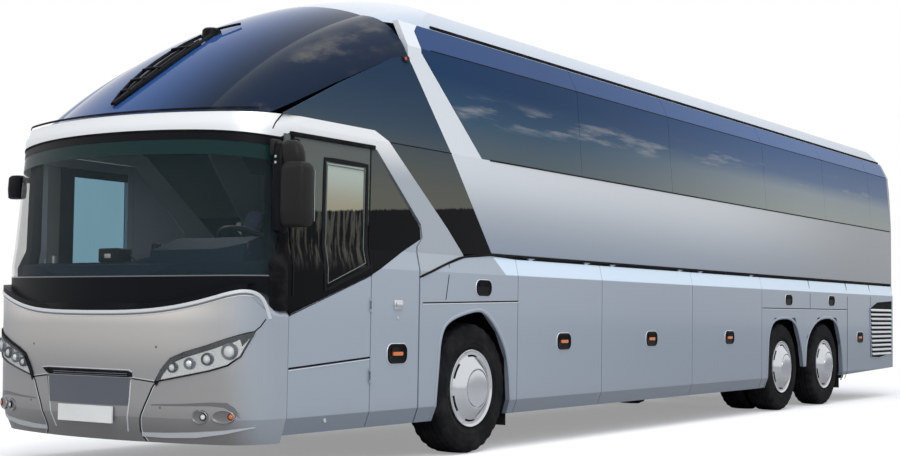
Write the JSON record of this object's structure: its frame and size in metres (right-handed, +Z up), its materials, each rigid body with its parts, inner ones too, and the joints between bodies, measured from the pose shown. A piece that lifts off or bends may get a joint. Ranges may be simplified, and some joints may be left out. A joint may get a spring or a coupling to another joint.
{
  "type": "touring coach",
  "caption": "Three-axle high-deck touring coach with a domed upper front screen, steering, turning wheels, opening doors, luggage flaps and engine lid.",
  "frame": {"origin": "on the road under the middle of the coach, midway between the sides and the ends", "axes": "+Z up, the front faces -Y, +X is the coach left-hand side"},
  "size_m": [2.96, 14.0023, 3.6899],
  "materials": {
    "door_steel": null,
    "running_gear": null,
    "wheel_chrome": null,
    "seat_cloth": null,
    "dark_glass": null,
    "black_plastic": null,
    "body_paint": null,
    "tyre_rubber": null,
    "floor_board": null
  },
  "bodies": {
    "coach": {"axles": "running_gear", "cab_glass": "dark_glass", "chassis_frame": "body_paint", "dashboard": "black_plastic", "dome_screen": "dark_glass", "engine_block": "running_gear", "front_band": "body_paint", "front_fascia": "body_paint", "lamps": "dark_glass", "lower_panels_left": "body_paint", "lower_panels_right": "body_paint", "mirrors": "black_plastic", "number_plates": "body_paint", "passenger_deck": "floor_board", "rear_wall": "body_paint", "rear_window": "dark_glass", "roof_shell": "body_paint", "seats": "seat_cloth", "side_wall_left": "body_paint", "side_wall_right": "body_paint", "side_windows_left": "dark_glass", "side_windows_right": "dark_glass", "steering_wheel": "black_plastic", "window_posts": "body_paint", "windscreen": "dark_glass", "wipers": "black_plastic"},
    "steer_left": {"knuckle_left": "running_gear"},
    "steer_right": {"knuckle_right": "running_gear"},
    "door_arm_front": {"door_arm_front": "door_steel"},
    "door_front": {"door_front_right": "body_paint", "door_front_glass": "dark_glass"},
    "door_arm_middle": {"door_arm_middle": "door_steel"},
    "door_middle": {"door_middle_right": "body_paint", "door_middle_glass": "dark_glass"},
    "driver_door": {"driver_door": "body_paint", "driver_door_glass": "dark_glass"},
    "engine_lid": {"engine_lid": "body_paint"},
    "front_wheel_left": {"wheel_front_left": "wheel_chrome", "tyre_front_left": "tyre_rubber"},
    "front_wheel_right": {"wheel_front_right": "wheel_chrome", "tyre_front_right": "tyre_rubber"},
    "drive_wheel_left": {"wheel_drive_left": "wheel_chrome", "tyre_drive_left": "tyre_rubber"},
    "drive_wheel_right": {"wheel_drive_right": "wheel_chrome", "tyre_drive_right": "tyre_rubber"},
    "tag_wheel_left": {"wheel_tag_left": "wheel_chrome", "tyre_tag_left": "tyre_rubber"},
    "tag_wheel_right": {"wheel_tag_right": "wheel_chrome", "tyre_tag_right": "tyre_rubber"},
    "body_luggage_flap_left_1": {"luggage_flap_left_1": "body_paint"},
    "body_luggage_flap_left_2": {"luggage_flap_left_2": "body_paint"},
    "body_luggage_flap_left_3": {"luggage_flap_left_3": "body_paint"},
    "body_luggage_flap_right_1": {"luggage_flap_right_1": "body_paint"},
    "body_luggage_flap_right_2": {"luggage_flap_right_2": "body_paint"}
  },
  "joints": [
    {"name": "steering_left", "type": "hinge", "parent": "coach", "child": "steer_left", "pos_m": [0.9, -4.135, 0.511], "axis": [0, 0, 1], "range_deg": [-40, 40]},
    {"name": "steering_right", "type": "hinge", "parent": "coach", "child": "steer_right", "pos_m": [-0.9, -4.135, 0.511], "axis": [0, 0, 1], "range_deg": [-40, 40]},
    {"name": "front_left_spin", "type": "hinge", "parent": "steer_left", "child": "front_wheel_left", "pos_m": [1.086, -4.135, 0.511], "axis": [1, 0, 0], "continuous": true},
    {"name": "front_right_spin", "type": "hinge", "parent": "steer_right", "child": "front_wheel_right", "pos_m": [-1.086, -4.135, 0.511], "axis": [1, 0, 0], "continuous": true},
    {"name": "drive_left_spin", "type": "hinge", "parent": "coach", "child": "drive_wheel_left", "pos_m": [1.086, 2.575, 0.511], "axis": [1, 0, 0], "continuous": true},
    {"name": "drive_right_spin", "type": "hinge", "parent": "coach", "child": "drive_wheel_right", "pos_m": [-1.086, 2.575, 0.511], "axis": [1, 0, 0], "continuous": true},
    {"name": "tag_left_spin", "type": "hinge", "parent": "coach", "child": "tag_wheel_left", "pos_m": [1.086, 4.045, 0.511], "axis": [1, 0, 0], "continuous": true},
    {"name": "tag_right_spin", "type": "hinge", "parent": "coach", "child": "tag_wheel_right", "pos_m": [-1.086, 4.045, 0.511], "axis": [1, 0, 0], "continuous": true},
    {"name": "luggage_flap_left_1_lift", "type": "hinge", "parent": "coach", "child": "body_luggage_flap_left_1", "pos_m": [1.243, -2.765, 1.56], "axis": [0, -1, 0], "range_deg": [0, 85]},
    {"name": "luggage_flap_left_2_lift", "type": "hinge", "parent": "coach", "child": "body_luggage_flap_left_2", "pos_m": [1.243, -1.035, 1.56], "axis": [0, -1, 0], "range_deg": [0, 85]},
    {"name": "luggage_flap_left_3_lift", "type": "hinge", "parent": "coach", "child": "body_luggage_flap_left_3", "pos_m": [1.243, 0.9025, 1.56], "axis": [0, -1, 0], "range_deg": [0, 85]},
    {"name": "luggage_flap_right_1_lift", "type": "hinge", "parent": "coach", "child": "body_luggage_flap_right_1", "pos_m": [-1.243, -2.765, 1.56], "axis": [0, 1, 0], "range_deg": [0, 85]},
    {"name": "luggage_flap_right_2_lift", "type": "hinge", "parent": "coach", "child": "body_luggage_flap_right_2", "pos_m": [-1.243, -1.035, 1.56], "axis": [0, 1, 0], "range_deg": [0, 85]},
    {"name": "driver_door_swing", "type": "hinge", "parent": "coach", "child": "driver_door", "pos_m": [1.284, -5.514, 0.9], "axis": [0, 0, -1], "range_deg": [0, 75]},
    {"name": "engine_lid_lift", "type": "hinge", "parent": "coach", "child": "engine_lid", "pos_m": [0, 6.981, 1.495], "axis": [1, 0, 0], "range_deg": [0, 80]},
    {"name": "door_front_arm_swing", "type": "hinge", "parent": "coach", "child": "door_arm_front", "pos_m": [-1.13, -6.318, 1], "axis": [0, 0, 1], "range_deg": [0, 110]},
    {"name": "door_front_panel_turn", "type": "hinge", "parent": "door_arm_front", "child": "door_front", "pos_m": [-1.13, -5.878, 1], "axis": [0, 0, 1], "range_deg": [-110, 0]},
    {"name": "door_middle_arm_swing", "type": "hinge", "parent": "coach", "child": "door_arm_middle", "pos_m": [-1.13, 1, 1], "axis": [0, 0, 1], "range_deg": [0, 110]},
    {"name": "door_middle_panel_turn", "type": "hinge", "parent": "door_arm_middle", "child": "door_middle", "pos_m": [-1.13, 1.44, 1], "axis": [0, 0, 1], "range_deg": [-110, 0]}
  ],
  "couplings": [
    {"joint": "steering_right", "follows": "steering_left", "ratio": 1},
    {"joint": "door_front_panel_turn", "follows": "door_front_arm_swing", "ratio": -1},
    {"joint": "door_middle_panel_turn", "follows": "door_middle_arm_swing", "ratio": -1}
  ]
}
